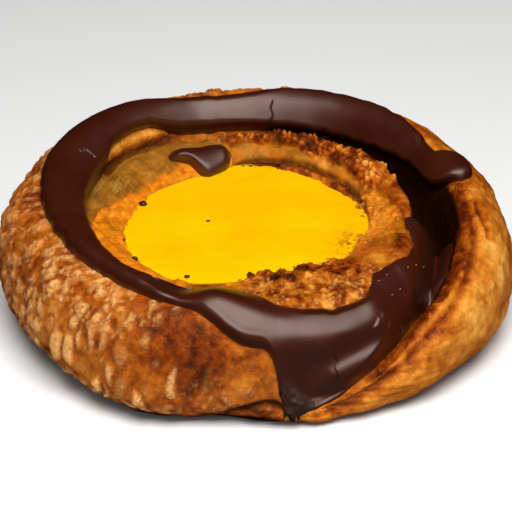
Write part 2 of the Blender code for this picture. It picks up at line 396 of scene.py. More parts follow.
# %% The mesh rows of the dough, and spots, seams and zones on it
DOUGH_ROWS = np.concatenate(
    [
        np.linspace(0, 1, 6)[:-1],
        np.linspace(1, 5, 53)[:-1],
        np.linspace(5, 8, 16)[:-1],
        np.linspace(8, 9, 15)[:-1],
        np.linspace(9, 10.1, 47),
        [10.25, 10.6, 11],
    ]
)
angle, place = np.meshgrid(GRID_ANGLES, DOUGH_ROWS)
skin_points = read(dough_grid, angle, place)
skin_out = read(dough_out, angle, place)
steps_up = np.linalg.norm(np.diff(skin_points, axis=0), axis=-1)
climb = np.concatenate([np.zeros((1, len(GRID_ANGLES))), np.cumsum(steps_up, axis=0)])
turn = np.radians(angle)
unrolled = np.stack([54 * np.cos(turn), 54 * np.sin(turn), climb], axis=-1)
wander = 0.07 * rough(skin_points / 4, 35)


def off_line(line, at=None):
    """How far each point of the dough is from a line through these angles and places, in millimetres."""
    at = skin_points if at is None else at
    line = np.array(line, float)
    if len(line) > 1:
        reach = np.sum(np.abs(np.diff(line[:, 0]))) + 8 * np.sum(np.abs(np.diff(line[:, 1])))
        fine = np.linspace(0, len(line) - 1, int(2 * reach) + 2)
        line = np.stack([np.interp(fine, np.arange(len(line)), column) for column in line.T], axis=-1)
    nearest = np.full(at.shape[:-1], 1e9)
    for point in read(dough_grid, line[:, 0], line[:, 1]):
        nearest = np.minimum(nearest, np.sum((at - point) ** 2, axis=-1))
    return np.sqrt(nearest)


def spot(at_angle, at_place, radius):
    """A soft round mark, 1 at its middle."""
    return np.exp(-((off_line([(at_angle, at_place)]) / radius) ** 2))


def seam(line, width):
    """A soft line, 1 along its middle."""
    return np.exp(-((off_line(line) / width) ** 2))


def zone(first, last, soft=8):
    """1 between two angles, going anticlockwise, with soft ends."""
    middle, half = (first + last) / 2, (last - first) / 2
    away = np.abs((angle - middle + 180) % 360 - 180)
    return 1 - smooth(away, half - soft / 2, half + soft / 2)


def band(low, high, soft=0.4):
    """1 between two places across the strand, with soft edges."""
    return smooth(place, low - soft / 2, low + soft / 2) * (1 - smooth(place, high - soft / 2, high + soft / 2))


def past(line, soft=0.14):
    """1 beyond a line of angles and places, going inwards. The line wanders a little, as edges of dough do."""
    at, where = np.array(line, float).T
    lap = (angle - at[0]) % 360 + at[0]
    return smooth(place + wander - np.interp(lap, at, where), -soft / 2, soft / 2)


def under(edges):
    """1 where a ribbon of chocolate with these edges lies on the dough."""
    station, outer, inner = np.array(edges, float).T
    covered = np.zeros_like(place)
    for lap in (0, 360):
        along = angle + lap
        inside = (along > station[0]) & (along < station[-1])
        low = np.interp(along, station, outer)
        high = np.interp(along, station, inner)
        lies = smooth(place, low - 0.35, low + 0.1) * (1 - smooth(place, high - 0.1, high + 0.35))
        covered = np.maximum(covered, inside * lies)
    return covered


# The deep trough at the back right is dark: partly a real film of chocolate, partly painted shadow.
COAT_OUTER = [(-32, 5.9), (-12, 5.65), (-2, 5.5), (8, 5.4), (20, 5.5), (90, 5.9)]
COAT_INNER = [(-32, 8.8), (-13, 8.4), (-11, 8.95), (-3, 8.75), (8, 8.6), (30, 8.5), (60, 8.45), (90, 8.3)]
coated_and_shaded = zone(-34, 88) * past(COAT_OUTER) * (1 - past(COAT_INNER))
covered = np.maximum(under(RIBBON_EDGES), under(DRIP_EDGES))
print("chocolate covers", round(100 * covered.mean()), "% of the dough's rows")

# %% [markdown]
# ## Relief of the dough
# The strand first gets broad lumps. On its outer side, steam has lifted the top layer into blisters: small round
# ones high up, and upright fingers low on the left of the front. Near the base the edges of the layers show as
# thin ledges. On the right the layers were pulled along the strand, so there they leave long streaks. The inner
# turn baked hard and crumbly. Each of these is a height in millimetres, and they are added up.

# %% Blisters, fingers, ledges and streaks
left_side = zone(60, 276)
right_side = 1 - left_side
drift = np.stack([rough(skin_points / 7, seed) for seed in (11, 12, 13)], axis=-1)
lumps = 0.6 * rough(skin_points / 15, 21) + 0.25 * swell(skin_points / 5, 22)

warped = unrolled + 1.1 * drift
big_blisters = islands(warped / (3.6, 3.6, 4.4), 31, 0.85)
small_blisters = islands(warped / 1.9, 32, 0.75)
fingers = islands((unrolled + 0.5 * drift) / (3.4, 3.4, 8.0), 33, 0.85)
finger_zone = zone(218, 254) * band(1.55, 2.95, 0.35)
blister_zone = band(1.1, 4.9, 0.8) * (0.25 + 0.75 * left_side) * (1 - finger_zone)
blisters = blister_zone * (0.42 * big_blisters + 0.32 * small_blisters) + 0.8 * finger_zone * fingers

layer_wave = climb / 1.55 + 0.8 * swell(skin_points / (16, 16, 5), 41) + 0.25 * drift[..., 0]
layer_edge = layer_wave - np.floor(layer_wave)
layer_shape = smooth(layer_edge, 0.0, 0.75) * (1 - smooth(layer_edge, 0.8, 1.0))
layer_zone = band(0.5, 1.9, 0.5) * smooth(swell(skin_points / 12, 42), -0.5, 0.1)
layer_zone = np.maximum(layer_zone, 0.85 * zone(276, 330) * band(0.4, 3.2, 0.6))
ledges = 0.45 * layer_zone * layer_shape

streak_points = np.stack([unrolled[..., 0] / 11, unrolled[..., 1] / 11, (climb + drift[..., 0] + 0.12 * np.radians(angle) * 54) / 2.4], axis=-1)
streaks = rough(streak_points, 51)
streak_zone = right_side * band(1.2, 5.4, 0.6)
pulled = 0.25 * streak_zone * streaks
print("blisters up to", round(float(blisters.max()), 2), "mm, ledges up to", round(float(ledges.max()), 2), "mm")

# %% [markdown]
# ### Creases and crusts
# A crease is a seam taken away from the surface. The tail of the strand is tucked under the front, and a deep
# crease shows where it goes in. A second crease lets the lip of dough on the left of the well curl over. A crust
# is the opposite: hard fine crumbs that stand up where thin dough baked longest.

# %% Creases, crusts and the inner turn
TAIL_SEAM = [(263, 1.15), (266, 1.55), (270, 1.85), (273, 2.08), (276.5, 2.25)]
LIP_SEAM = [(152, 6.95), (144, 7.03), (136, 7.08), (128, 6.8), (121, 6.65)]
STRAND_SEAM = [(350, 4.7), (338, 4.55), (324, 4.2), (312, 4.0), (299, 3.3), (288, 2.9)]
FISSURE = [(1, 4.5), (355, 4.3), (349, 3.95)]
tail_crease = seam(TAIL_SEAM, 0.8)
lip_crease = seam(LIP_SEAM, 1.0)
strand_crease = seam(STRAND_SEAM, 1.2)
fissure = seam([(1 + 360, 4.5), (355, 4.3), (349, 3.95)], 0.8)
creases = -1.3 * tail_crease - 2.0 * lip_crease - 0.7 * strand_crease - 0.8 * fissure

CREST_LINE = [(-14, 9.0), (2, 9.1), (11, 9.28), (32, 9.5), (46, 9.44), (58, 9.38), (80, 9.28), (108, 9.2)]
GROOVE_LINE = [(-8, 9.88), (8, 9.85), (21, 9.78), (38, 9.7), (69, 9.66), (86, 9.74), (104, 9.85)]
BAND_LINE = [(96, 9.5), (127, 9.5), (138, 9.6), (153, 9.65), (173, 9.3), (190, 7.33), (206, 7.0)]
crumble = np.abs(rough(skin_points / 2.1, 61))
crumbs = islands((skin_points + 0.4 * drift) / 1.5, 62, 0.75)
past_crest, past_groove, past_band = past(CREST_LINE), past(GROOVE_LINE), past(BAND_LINE)
crest_zone = band(8.3, 10, 0.2) * (1 - past_crest) * zone(22, 108, 16)
shelf_zone = past_crest * (1 - past_groove) * zone(-14, 104)
broken_shelf = past_crest * band(8.6, 10.2, 0.2) * zone(-22, 26, 14)
rim_zone = past_groove * band(9, 10.2, 0.2) * zone(-10, 104)
island_zone = band(8.3, 10.2, 0.3) * zone(262, 322)
island_top = island_zone * past([(262, 9.9), (276, 9.7), (282, 9.5), (300, 9.5), (314, 9.3), (322, 9.5)], 0.3)
lip_crust_zone = band(4.9, 6.2, 0.5) * zone(-62, 14)
crumbly = 0.9 * crest_zone + 0.08 * shelf_zone + 0.6 * broken_shelf + 0.5 * rim_zone + 0.45 * island_zone + 0.7 * lip_crust_zone
crust = 0.7 * crest_zone + crumbly * (0.75 * crumbs + 0.8 * crumble - 0.45) + island_top * (0.5 + 0.5 * rough(skin_points / 4, 63, 2))

grooves = -0.9 * seam(GROOVE_LINE, 0.7) * zone(-6, 102) - 0.5 * seam(CREST_LINE, 0.6) * zone(-10, 104) - 0.4 * shelf_zone
rolled_lip = 0.9 * seam([(150, 6.5), (142, 6.35), (134, 6.3), (126, 6.4)], 1.6)
strip_zone = past_band * band(6.8, 10.2, 0.3) * zone(100, 262)
strip = strip_zone * (0.5 * islands(skin_points / 2.6, 73, 0.6) - 0.5)
olive_zone = (1 - past_band) * band(6.9, 10, 0.3) * zone(104, 206) * (1 - 0.7 * rolled_lip)
pleats = rough(np.stack([unrolled[..., 0] / 12, unrolled[..., 1] / 12, (climb + drift[..., 1]) / 1.8], axis=-1), 74)
inside_rough = 0.2 * rough(skin_points / 2.6, 72) * band(7.2, 10.3, 0.4) + 0.3 * olive_zone * pleats
well = grooves + rolled_lip + strip + inside_rough

bare = 1 - 0.8 * np.maximum(covered, coated_and_shaded)
off_base = smooth(place, 0.15, 0.7)
relief = off_base * bare * (lumps + blisters + ledges + pulled + creases + crust + well)
dough_skin = skin_points + relief[..., None] * skin_out
dough_skin[..., 2] = np.maximum(dough_skin[..., 2], 0)
print("relief from", round(float(relief.min()), 2), "to", round(float(relief.max()), 2), "mm")

# %% [markdown]
# ## Browning and painted shade
# Colour follows the baking: thin edges and high crumbs go dark, the sheltered folds stay pale, blisters dry to
# tan. Shade is painted in as well: creases, the groove and the hollows of the relief are darkened as painted
# shade. The very base is darker, partly from its own baking and partly as painted contact shadow. The deep trough
# at the back gets a near-black film that is partly cocoa and partly painted shadow. It is worked out as a few
# plain masks from 0 to 1, kept on the mesh. The finish then turns the masks into colours, so that a colour can be
# changed without touching the shape.

# %% Masks for the finish
bake_and_shade = 0.62 + 0.05 * left_side + 0.12 * rough(skin_points / 10, 81) + 0.1 * rough(skin_points / 3, 82)
# The very base is darker: partly its own dark baked bottom, partly painted contact shadow.
bake_and_shade += 0.3 * band(-1, 0.8, 0.6) + 0.08 * band(0.6, 1.6, 0.8) * left_side
bake_and_shade += 0.2 * spot(252, 3.1, 7) + 0.16 * spot(247, 4.3, 4.5) + 0.12 * spot(259, 3.6, 5)
bake_and_shade -= 0.13 * spot(331, 3.2, 9) + 0.12 * spot(345, 3.6, 8) + 0.1 * zone(276, 370) * band(1, 4.8, 0.8)
# The strand crease, the fissure and the tail crease are darkened: painted shade in these recesses.
bake_and_shade += 0.18 * lip_crust_zone + 0.3 * strand_crease + 0.22 * fissure + 0.35 * tail_crease
bake_and_shade += 0.1 * streak_zone * smooth(streaks, -0.3, -0.8)
# Painted shade: the crease under the curled lip, and on the next line the groove, are darkened.
bake_and_shade += 0.4 * lip_crease + (0.12 - 0.22 * zone(8, 40, 14)) * crest_zone - 0.1 * shelf_zone - 0.3 * rolled_lip + 0.08 * rim_zone
bake_and_shade += 0.3 * seam(GROOVE_LINE, 0.8) * zone(-6, 102)
bake_and_shade += 0.24 * island_top * smooth(rough(skin_points / 3, 85), -0.7, 0.3) + 0.02 * island_zone * (1 - island_top)
bake_and_shade += 0.22 * spot(354, 8.95, 4.5) + 0.22 * spot(343, 9.3, 5) + 0.2 * spot(8, 9.3, 3)
patchy = 0.28 * rough(skin_points / 3.2, 88) + 0.16 * rough(skin_points / 1.2, 89)
bake_and_shade += patchy * np.minimum(1, 0.9 * island_zone + 0.8 * broken_shelf + 0.5 * rim_zone + 0.5 * strip_zone + 0.7 * crest_zone)
bake_and_shade += 0.3 * (0.5 - crumbs) * crest_zone
bake_and_shade = np.minimum(bake_and_shade, 1 - 0.1 * crest_zone)
tan = blister_zone * np.clip(0.5 * big_blisters + 0.5 * small_blisters + 0.3 * rough(skin_points / 2.4, 86) + 0.06, 0, 1)
tan *= left_side * (1 - spot(252, 3.5, 8))
tan = np.maximum(tan, 1.1 * finger_zone * fingers)
tan *= smooth(rough(skin_points / 8, 83), -1.1, -0.2) * (1 - spot(252, 3.1, 8))
tan *= (0.6 + 0.4 * zone(206, 270, 20)) * (1 - 0.65 * zone(257, 292, 10))
tan = np.maximum(tan, 0.7 * olive_zone * zone(146, 200, 16) * smooth(pleats, 0.1, 0.6))
tan = np.maximum(tan, 0.4 * broken_shelf * band(9.5, 10.2, 0.3) * crumbs)
tan = np.maximum(tan, 0.4 * island_zone * (1 - island_top) * crumbs)
olive = olive_zone * (0.95 + 0.4 * pleats) + 0.75 * shelf_zone * (1 - 0.8 * broken_shelf) * smooth(rough(skin_points / 6, 87), -0.9, 0.2)
stained = strip_zone + 0.45 * broken_shelf + 0.35 * shelf_zone * smooth(rough(skin_points / 5, 84), -0.2, 0.5)
# Painted shade: recesses of the relief and crevices among the crumbs are darkened.
hollow_shade = smooth(-relief, 0.2, 1.4) + 0.25 * smooth(0.12 - crumble, 0, 0.12) * (crest_zone + island_top)
grainy = 1 - 0.7 * shelf_zone - 0.5 * streak_zone * (1 - lip_crust_zone)
masks = {"bake_and_shade": bake_and_shade, "tan": tan, "olive": olive, "stained": stained, "hollow_shade": hollow_shade, "coated_and_shaded": coated_and_shaded, "grainy": grainy}
for name, values in masks.items():
    masks[name] = np.clip(values, 0, 1)
    print(name, "averages", round(float(masks[name].mean()), 2))


# %% Skin the dough
def close_skin(name, loops, first, last, finish, marks=None):
    """A closed smooth piece: loops of points in millimetres, with a fan to the first and to the last point."""
    rows, count = loops.shape[:2]
    points = np.concatenate([loops.reshape(-1, 3), [first, last]]) * MM
    here = np.arange(count)
    after = (here + 1) % count
    faces = []
    for row in range(rows - 1):
        near, far = row * count, (row + 1) * count
        faces += np.stack([near + here, near + after, far + after, far + here], axis=-1).tolist()
    start, end, top = rows * count, rows * count + 1, (rows - 1) * count
    faces += np.stack([np.full(count, start), after, here], axis=-1).tolist()
    faces += np.stack([top + here, top + after, np.full(count, end)], axis=-1).tolist()
    data = bpy.data.meshes.new(name)
    data.from_pydata(points.tolist(), [], faces)
    data.shade_smooth()
    data.materials.append(finish)
    for mark, values in (marks or {}).items():
        kept = data.attributes.new(mark, "FLOAT", "POINT")
        ends = [values[0].mean(), values[-1].mean()]
        kept.data.foreach_set("value", np.concatenate([values.ravel(), ends]).astype(np.float32))
    piece = bpy.data.objects.new(name, data)
    bpy.context.scene.collection.objects.link(piece)
    print(name, "has", sum(len(face) - 2 for face in faces), "triangles")
    return piece


# %% [markdown]
# ## Finishes
# A finish is a small graph of nodes. A few short helpers keep the graphs readable: each adds one node, joins
# what it is given, and hands back its output. Sizes are given in millimetres of the real surface.


# %% Helpers for finishes
class Finish:
    """A material whose nodes are added one at a time."""

    def __init__(self, name):
        self.material = bpy.data.materials.new(name)
        self.material.use_nodes = True
        self.tree = self.material.node_tree
        self.shader = self.tree.nodes["Principled BSDF"]
        self.where = self.tree.nodes.new("ShaderNodeTexCoord").outputs["Object"]

    def join(self, value, socket):
        """Links an output to a socket, or sets a plain value on it."""
        if isinstance(value, bpy.types.NodeSocket):
            self.tree.links.new(value, socket)
        else:
            socket.default_value = value

    def mark(self, name):
        """A mask kept on the mesh."""
        node = self.tree.nodes.new("ShaderNodeAttribute")
        node.attribute_name = name
        return node.outputs["Fac"]

    def noise(self, size, detail=3, roughness=0.55, stretch=(1, 1, 1)):
        """Noise with features about this many millimetres wide, longer where stretch is above 1."""
        scale = self.tree.nodes.new("ShaderNodeMapping")
        scale.inputs["Scale"].default_value = [1 / (size * MM * part) for part in stretch]
        self.join(self.where, scale.inputs["Vector"])
        node = self.tree.nodes.new("ShaderNodeTexNoise")
        node.inputs["Scale"].default_value = 1
        node.inputs["Detail"].default_value = detail
        node.inputs["Roughness"].default_value = roughness
        self.join(scale.outputs["Vector"], node.inputs["Vector"])
        return node.outputs["Fac"]

    def maths(self, what, first, second=0.0):
        node = self.tree.nodes.new("ShaderNodeMath")
        node.operation = what
        self.join(first, node.inputs[0])
        self.join(second, node.inputs[1])
        return node.outputs[0]

    def spread(self, value, low, high, to_low=0.0, to_high=1.0):
        """A value stretched from one range to another, and kept inside it."""
        node = self.tree.nodes.new("ShaderNodeMapRange")
        for number, socket in zip((low, high, to_low, to_high), list(node.inputs)[1:5]):
            self.join(number, socket)
        self.join(value, node.inputs["Value"])
        return node.outputs["Result"]

    def ramp(self, value, stops):
        """A colour for each value, from a list of places and colours."""
        node = self.tree.nodes.new("ShaderNodeValToRGB")
        marks = node.color_ramp.elements
        while len(marks) < len(stops):
            marks.new(0.5)
        for mark, (at, colour) in zip(marks, stops):
            mark.position = at
            mark.color = (*colour, 1)
        self.join(value, node.inputs["Fac"])
        return node.outputs["Color"]

    def blend(self, share, first, second, way="MIX"):
        node = self.tree.nodes.new("ShaderNodeMix")
        node.data_type = "RGBA"
        node.blend_type = way
        self.join(share, node.inputs[0])
        for colour, socket in ((first, node.inputs[6]), (second, node.inputs[7])):
            self.join(colour if isinstance(colour, bpy.types.NodeSocket) else (*colour, 1), socket)
        return node.outputs[2]

    def bump(self, height, distance, strength=1.0, before=None):
        """Fine relief this many millimetres deep, on top of the relief before it."""
        node = self.tree.nodes.new("ShaderNodeBump")
        node.inputs["Distance"].default_value = distance * MM
        node.inputs["Strength"].default_value = strength
        self.join(height, node.inputs["Height"])
        if before is not None:
            self.join(before, node.inputs["Normal"])
        return node.outputs["Normal"]

    def set(self, **values):
        """Sets or joins the shader's own sockets, named with _ for a space."""
        for name, value in values.items():
            self.join(value, self.shader.inputs[name.replace("_", " ")])
        return self.material


# %% [markdown]
# ### Baked dough
# Butter and egg wash bake from cream through gold to a red brown that is nearly black at thin edges. The browning
# mask, which also holds painted shade in the creases and at the base, goes through a colour ramp with those stops,
# broken up by noise at two sizes. Tan islands, the olive band where butter soaked in, and the custard's stain are
# laid over it. Hollows are darkened with painted shade, and the trough at the back gets a film that is partly
# cocoa and partly painted shadow.

# %% Mix the dough's finish
dough = Finish("baked_dough_finish")
mottle = dough.noise(2.4, 5, 0.65)
fleck = dough.noise(0.7, 3, 0.6)
browning_and_shade = dough.maths("ADD", dough.mark("bake_and_shade"), dough.spread(mottle, 0.25, 0.75, -0.16, 0.16))
browning_and_shade = dough.maths("ADD", browning_and_shade, dough.spread(fleck, 0.3, 0.7, -0.05, 0.05))
crumb_colour = dough.ramp(
    browning_and_shade,
    [
        (0.10, (0.88, 0.50, 0.13)),
        (0.30, (0.76, 0.33, 0.045)),
        (0.48, (0.56, 0.175, 0.014)),
        (0.62, (0.40, 0.095, 0.006)),
        (0.78, (0.21, 0.032, 0.002)),
        (0.92, (0.09, 0.012, 0.002)),
        (1.00, (0.03, 0.005, 0.001)),
    ],
)
dry = dough.maths("ADD", dough.mark("tan"), dough.spread(mottle, 0.25, 0.75, -0.25, 0.25))
dry = dough.spread(dough.maths("ADD", dry, dough.spread(fleck, 0.3, 0.7, -0.18, 0.18)), 0.05, 0.90)
dry = dough.maths("MULTIPLY", dry, dough.spread(dough.mark("tan"), 0.02, 0.25))
tan_colour = dough.blend(dough.spread(fleck, 0.35, 0.65), (0.68, 0.29, 0.065), (0.82, 0.44, 0.15))
crumb_colour = dough.blend(dough.maths("MULTIPLY", dry, 0.95), crumb_colour, tan_colour)
soaked = dough.ramp(dough.noise(1.6, 4, 0.6, (2, 2, 1)), [(0.3, (0.15, 0.06, 0.004)), (0.7, (0.34, 0.155, 0.016))])
crumb_colour = dough.blend(dough.maths("MULTIPLY", dough.mark("olive"), 0.85), crumb_colour, soaked)
egg_stain = dough.ramp(mottle, [(0.3, (0.45, 0.09, 0.004)), (0.55, (0.78, 0.24, 0.006)), (0.75, (0.9, 0.40, 0.03))])
crumb_colour = dough.blend(dough.maths("MULTIPLY", dough.mark("stained"), 0.9), crumb_colour, egg_stain)
# Painted shade in the hollows, mixed towards a near-black brown.
shade = dough.maths("MULTIPLY", dough.mark("hollow_shade"), 0.75)
crumb_colour = dough.blend(shade, crumb_colour, (0.08, 0.016, 0.002))
# A near-black film in the trough: partly cocoa, partly painted shadow.
cocoa_film_and_shadow = dough.ramp(mottle, [(0.35, (0.006, 0.0012, 0.0005)), (0.75, (0.022, 0.0045, 0.0015))])
crumb_colour = dough.blend(dough.mark("coated_and_shaded"), crumb_colour, cocoa_film_and_shadow)
shine = dough.spread(dough.noise(4, 3), 0.35, 0.65, 0.28, 0.5)
shine = dough.maths("ADD", shine, dough.maths("MULTIPLY", dough.mark("tan"), 0.12))
grain = dough.bump(dough.maths("MULTIPLY", dough.noise(1.3, 5, 0.6), dough.mark("grainy")), 0.6, 0.8)
grain = dough.bump(dry, 0.3, 0.7, grain)
grain = dough.bump(dough.noise(0.45, 3, 0.6), 0.18, 0.5, grain)
baked_dough = dough.set(Base_Color=crumb_colour, Roughness=shine, Normal=grain)
dough.shader.inputs["Specular IOR Level"].default_value = 0.36
dough.shader.inputs["Specular Tint"].default_value = (1.0, 0.55, 0.2, 1)
dough.shader.inputs["Subsurface Weight"].default_value = 0.08
dough.shader.inputs["Subsurface Radius"].default_value = (0.9, 0.4, 0.12)
dough.shader.inputs["Subsurface Scale"].default_value = 0.0015
print("the dough's finish has", len(dough.tree.nodes), "nodes")

# %% Make the pastry
base_middle = (*COIL_CENTRE, 0)
bowl_middle = dough_grid[-1].mean(axis=0)
pastry = close_skin("baked_pastry", dough_skin, base_middle, bowl_middle, baked_dough, masks)
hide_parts("pastry")
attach(pastry, "root")

# %% [markdown]
# ## Chocolate
# Melted chocolate is thick: it rounds off the dough under it, half fills the trough, and stops at a fat rolled
# edge. So its top is the dough averaged over a small patch and then lifted. Where a crest would show through,
# it is lifted further. Cross sections from one edge to the other are laid side by side round the coil. They sink
# a little way into the dough underneath, because that side is never seen, and then no gap can open.

# %% The level that chocolate flows to
RIBBON_THICKNESS = 3.4
LEAST_THICKNESS = 2.4
FOOT_THICKNESS = 0.35
SINK = 0.9


def flow_out(grid):
    """The surface averaged over seven degrees and four fifths of a ring each way."""
    last = len(GRID_PLACES) - 1
    rows = np.arange(last + 1)
    weights = 1 - 0.5 * np.abs(np.linspace(-1, 1, 7))
    total = 0
    for shift, share in zip((-16, -11, -5, 0, 5, 11, 16), weights):
        moved = grid[np.clip(rows + shift, 0, last)]
        for turn, part in zip((-14, -9, -5, 0, 5, 9, 14), weights):
            total = total + share * part * np.roll(moved, turn, axis=1)
    return total / weights.sum() ** 2


flowed = flow_out(dough_grid)
flowed_out = outward(flowed)
chocolate_top = flowed + RIBBON_THICKNESS * flowed_out
depth = np.sum((chocolate_top - dough_grid) * dough_out, axis=-1, keepdims=True)
lean = np.clip(np.sum(dough_out * flowed_out, axis=-1, keepdims=True), 0.4, 1)
chocolate_top = chocolate_top + flowed_out * np.clip(LEAST_THICKNESS - depth, 0, LEAST_THICKNESS) / lean
print("the chocolate's top reaches", round(float(chocolate_top[..., 2].max()), 1), "mm")

# %% Details of the chocolate, as lines through points in millimetres
CRACKS = [
    [(4.0, 40.5, 31), (3.4, 39.2, 30), (4.1, 38.2, 28), (3.2, 37.4, 27), (3.9, 36.4, 25)],
    [(16.5, -47.2, 15), (17.6, -48.2, 13.5), (17.0, -49.2, 12.5), (17.8, -50.6, 11)],
    [(-41.5, 12, 33), (-40, 13, 33), (-38, 12.5, 31.5)],
]
LUMPS = [(34, -5.5, 26), (30, -35, 21), (29, -39, 19), (27, -41, 18), (30, -39, 16)]


def off_chocolate_line(points, out, line):
    """How far points are from a line, in millimetres, measured along the chocolate's surface."""
    line = np.array(line, float)
    fine = np.linspace(0, len(line) - 1, 12 * len(line)) if len(line) > 1 else [0]
    nearest = np.full(points.shape[:-1], 1e9)
    for point in zip(*[np.interp(fine, np.arange(len(line)), column) for column in line.T]):
        away = points - point
        above = np.sum(away * out, axis=-1)
        apart = np.sum(away**2, axis=-1) - np.where(np.abs(above) < 3, above**2, 0)
        nearest = np.minimum(nearest, apart)
    return np.sqrt(np.maximum(nearest, 0))


def angle_of(point):
    """The angle round the coil of a point in millimetres."""
    return math.degrees(math.atan2(point[1] - COIL_CENTRE[1], point[0] - COIL_CENTRE[0])) % 360


def near_foot(around, across):
    """1 where the pour reached the table and broke up, at the very front."""
    return np.exp(-(((around % 360 - 283) / 9) ** 2)) * smooth(across, 4.2, 2.8)


def chocolate_relief(points, out, around, across):
    """How far the chocolate stands out or in at these points of its top, in millimetres."""
    height = 0.25 * rough(points / 17, 101, 2) + 0.05 * swell(points / 5, 102)
    for lump in LUMPS:
        height = height + 0.7 * np.exp(-((off_chocolate_line(points, out, [lump]) / 1.5) ** 2))
    return height + near_foot(around, across) * (np.abs(rough(points / 2, 103)) - 0.2)


# %% [markdown]
# ### Dark chocolate finish
# Set dark chocolate is a deep red brown with a satin surface: its gleams are broad and soft, and never sharp.
# That comes from the roughness alone. Faint clouds in the roughness and a very fine grain keep it from looking
# like plastic. Cracks are darkened with painted shade, and the crumbly foot is darker and duller.

# %% Mix the chocolate's finish
chocolate = Finish("dark_chocolate_finish")
clouds = chocolate.noise(9, 4, 0.6)
cocoa = chocolate.ramp(clouds, [(0.3, (0.034, 0.0046, 0.0007)), (0.7, (0.045, 0.0068, 0.0014))])
cocoa = chocolate.blend(chocolate.mark("crumbly"), cocoa, (0.024, 0.0034, 0.0007))
# Painted shade darkens the cracks.
cocoa = chocolate.blend(chocolate.mark("broken"), cocoa, (0.012, 0.003, 0.002))
satin = chocolate.spread(clouds, 0.3, 0.7, 0.33, 0.41)
satin = chocolate.maths("ADD", satin, chocolate.maths("MULTIPLY", chocolate.mark("crumbly"), 0.25))
fine_grain = chocolate.bump(chocolate.noise(0.5, 3), 0.05, 0.5)
rough_grain = chocolate.bump(
    chocolate.maths("MULTIPLY", chocolate.noise(0.9, 4, 0.65), chocolate.mark("crumbly")), 0.4, 1.0, fine_grain
)
dark_chocolate = chocolate.set(Base_Color=cocoa, Roughness=satin, Normal=rough_grain)
chocolate.shader.inputs["Specular IOR Level"].default_value = 1.0
chocolate.shader.inputs["Specular Tint"].default_value = (1.0, 0.85, 0.76, 1)

# %% Lay the ribbon and the drip
TIP_SPAN = 4.0
RIM = 2.8


def bell_of(value, middle, reach):
    """1 at the middle, falling smoothly to 0 at this reach on both sides."""
    return np.clip(1 - ((value - middle) / reach) ** 2, 0, 1) ** 2


def rolled_edge(distance, rim):
    """The quarter-round edge of thick chocolate: 0 at the edge, 1 from the rim's width on."""
    return np.sqrt(1 - (1 - np.clip(distance / rim, 0, 1)) ** 2)



def relax(points, share, rounds):
    """Irons out folds: each point moves towards the middle of its four neighbours by this share."""
    share = share[1:-1, 1:-1, None]
    for _ in range(rounds):
        around = points[:-2, 1:-1] + points[2:, 1:-1] + points[1:-1, :-2] + points[1:-1, 2:]
        points[1:-1, 1:-1] += share * (around / 4 - points[1:-1, 1:-1])
    return points


def clear_of_dough(points, least):
    """Moves points out of the baked dough until each is at least this far from it."""
    flat = points.reshape(-1, 3)
    wanted = np.broadcast_to(least, points.shape[:-1]).ravel()
    for i, (point, gap) in enumerate(zip(flat, wanted)):
        if gap > 0:
            nearest, normal, _, _ = dough_tree.find_nearest(point)
            inside = (Vector(point) - nearest).dot(normal)
            if inside < gap:
                flat[i] = nearest + normal * gap
    return flat.reshape(points.shape)


corners = [tuple(point) for point in dough_skin.reshape(-1, 3)]
quads = [tuple(polygon.vertices) for polygon in pastry.data.polygons if len(polygon.vertices) == 4]
dough_tree = BVHTree.FromPolygons(corners, quads)

# %% [markdown]
# ### The pour at the front
# At the front the crest of the strand swings inwards under the chocolate, and rings across the strand no longer
# run square to the flow. There the chocolate is laid as a sheet over a tilted board instead: rays dropped square
# to the board find the dough, the heights are averaged over a few millimetres, and the chocolate lies on that.
# It blends into the ribbon's own rings at both sides.

# %% Drop rays on the front of the dough
BOARD_TILT = math.radians(40)
board_out = np.array([0, -math.sin(BOARD_TILT), math.cos(BOARD_TILT)])
board_up = np.array([0, math.cos(BOARD_TILT), math.sin(BOARD_TILT)])
BOARD_STEP = 0.5
board_x = np.arange(-42, 52, BOARD_STEP)
board_y = np.arange(-52, 16, BOARD_STEP)


def drop_on_dough(x, up):
    """How far out from the board the dough lies, at one point of the board."""
    start = Vector(x * np.array([1, 0, 0]) + up * board_up + 90 * board_out)
    hit = dough_tree.ray_cast(start, Vector(-board_out))
    return 90 - hit[3] if hit[0] is not None else -20.0


board_dough = np.array([[drop_on_dough(x, up) for x in board_x] for up in board_y])


def blurred(heights, rounds):
    """Heights averaged with their neighbours this many times."""
    for _ in range(rounds):
        padded = np.pad(heights, 1, mode="edge")
        heights = (padded[:-2, 1:-1] + padded[2:, 1:-1] + padded[1:-1, :-2] + padded[1:-1, 2:] + heights) / 5
    return heights


BROAD_TOPS = [
    # across, up, height over the board: where the chocolate set with a broad flat top; then its half width
    ([(-9, -17, 51.6), (-2, -21, 51.3), (2, -22.6, 50.6), (6, -23, 49.6), (11, -22.5, 48.3), (15, -21.8, 47.2), (19, -20.3, 46), (24, -17.5, 44.2)], 5.6),
    ([(28, -24, 40.8), (25, -25.4, 41.6), (21, -27.6, 42.4), (17, -30, 42.6)], 2.9),
]


def with_broad_top(heights, line, width):
    """Heights over the board drawn to those of a line of points, within this distance of it."""
    line = np.array(line, float)
    fine = np.linspace(0, len(line) - 1, 20 * len(line))
    xs, ups, levels = [np.interp(fine, np.arange(len(line)), column) for column in line.T]
    away = (board_x[None, :, None] - xs) ** 2 + (board_y[:, None, None] - ups) ** 2
    nearest = np.argmin(away, axis=-1)
    return between(heights, levels[nearest], np.exp(-((away.min(axis=-1) / width**2) ** 2)))


